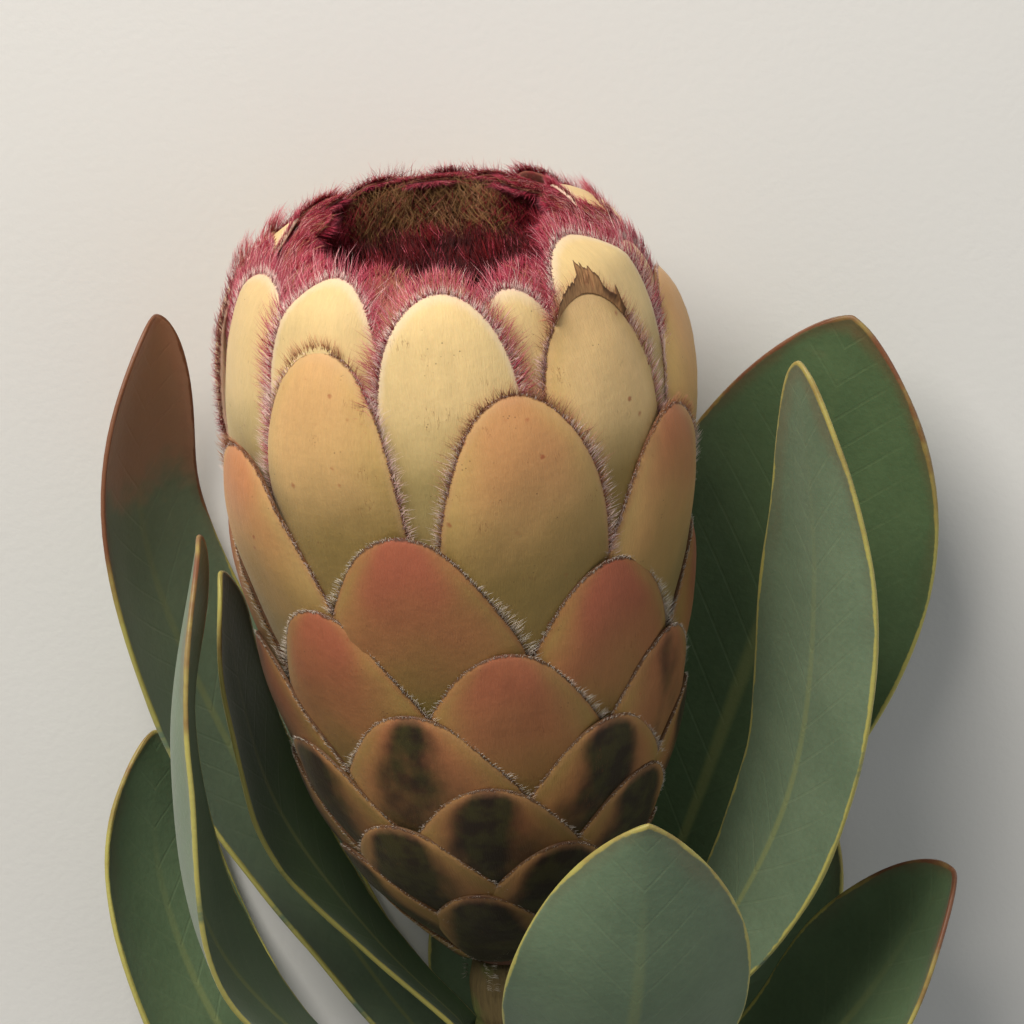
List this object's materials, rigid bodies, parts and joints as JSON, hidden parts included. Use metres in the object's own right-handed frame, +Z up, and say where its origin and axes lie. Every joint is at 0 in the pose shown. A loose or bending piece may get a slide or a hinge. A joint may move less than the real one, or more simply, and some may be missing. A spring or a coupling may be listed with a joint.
{
  "type": "protea flower",
  "caption": "Cut protea bud lying on its back: overlapping leathery bracts round a furry crimson mouth, on a woody stem with broad leathery leaves.",
  "frame": {"origin": "on the table under the middle of the whole flower", "axes": "+Z up from the table it lies on; +Y along the flower from the cut end of the stem to the tip of the head; +X to the right seen from above with the tip away"},
  "size_m": [0.1136, 0.1768, 0.0633],
  "materials": {
    "stem": "rough greenish-brown bark with leaf scars and a pale cut end",
    "russet_bract": "velvety, salmon red to russet tips over olive, blackish-green at the foot, pale woolly margins",
    "ochre_bract": "velvety ochre to peach with red-brown specks, fringed margins",
    "cream_bract": "velvety pale cream yellow with lavender, pink and crimson hair round the tips",
    "floret_fur": "deep crimson fur",
    "leaf": "leathery grey-green with a horny yellow margin, red-brown at the tip"
  },
  "bodies": {
    "root": {"stem": "stem", "outer_bracts": "russet_bract", "middle_bracts": "ochre_bract", "inner_bracts": "cream_bract", "florets": "floret_fur", "leaf_right_back": "leaf", "leaf_right_front": "leaf", "leaf_right_low": "leaf", "leaf_front": "leaf", "leaf_left_front": "leaf", "leaf_left_inner": "leaf", "leaf_left_back": "leaf", "leaf_left_low": "leaf", "leaf_back_right": "leaf", "leaf_back_middle": "leaf"}
  },
  "joints": []
}
